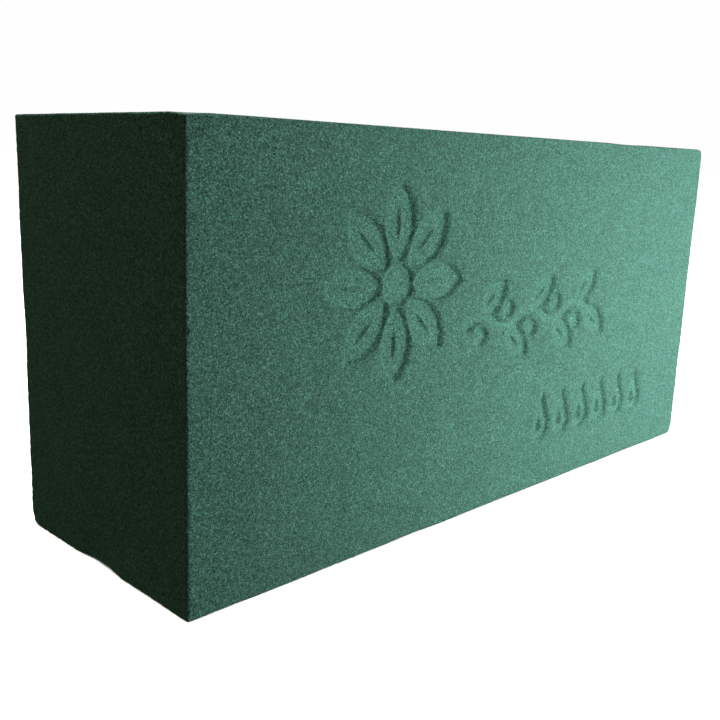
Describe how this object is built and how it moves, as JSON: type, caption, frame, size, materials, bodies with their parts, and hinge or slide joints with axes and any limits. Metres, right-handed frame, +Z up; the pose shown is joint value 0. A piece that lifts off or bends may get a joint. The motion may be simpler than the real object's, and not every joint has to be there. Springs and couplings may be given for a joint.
{
  "type": "floral foam brick",
  "caption": "Rectangular brick of stiff open-cell foam that soaks up water and holds cut flower stems, with a plain flower and leaf pattern pressed into one long face.",
  "frame": {"origin": "middle of the base, at the height of the surface that the brick stands on", "axes": "+Z up, +X along the brick's length, -Y out of the face with the pressed pattern"},
  "size_m": [0.23, 0.075, 0.11],
  "materials": {
    "phenolic_foam": "dead matt, fine open cells"
  },
  "bodies": {
    "root": {"foam_brick": "phenolic_foam"}
  },
  "joints": []
}
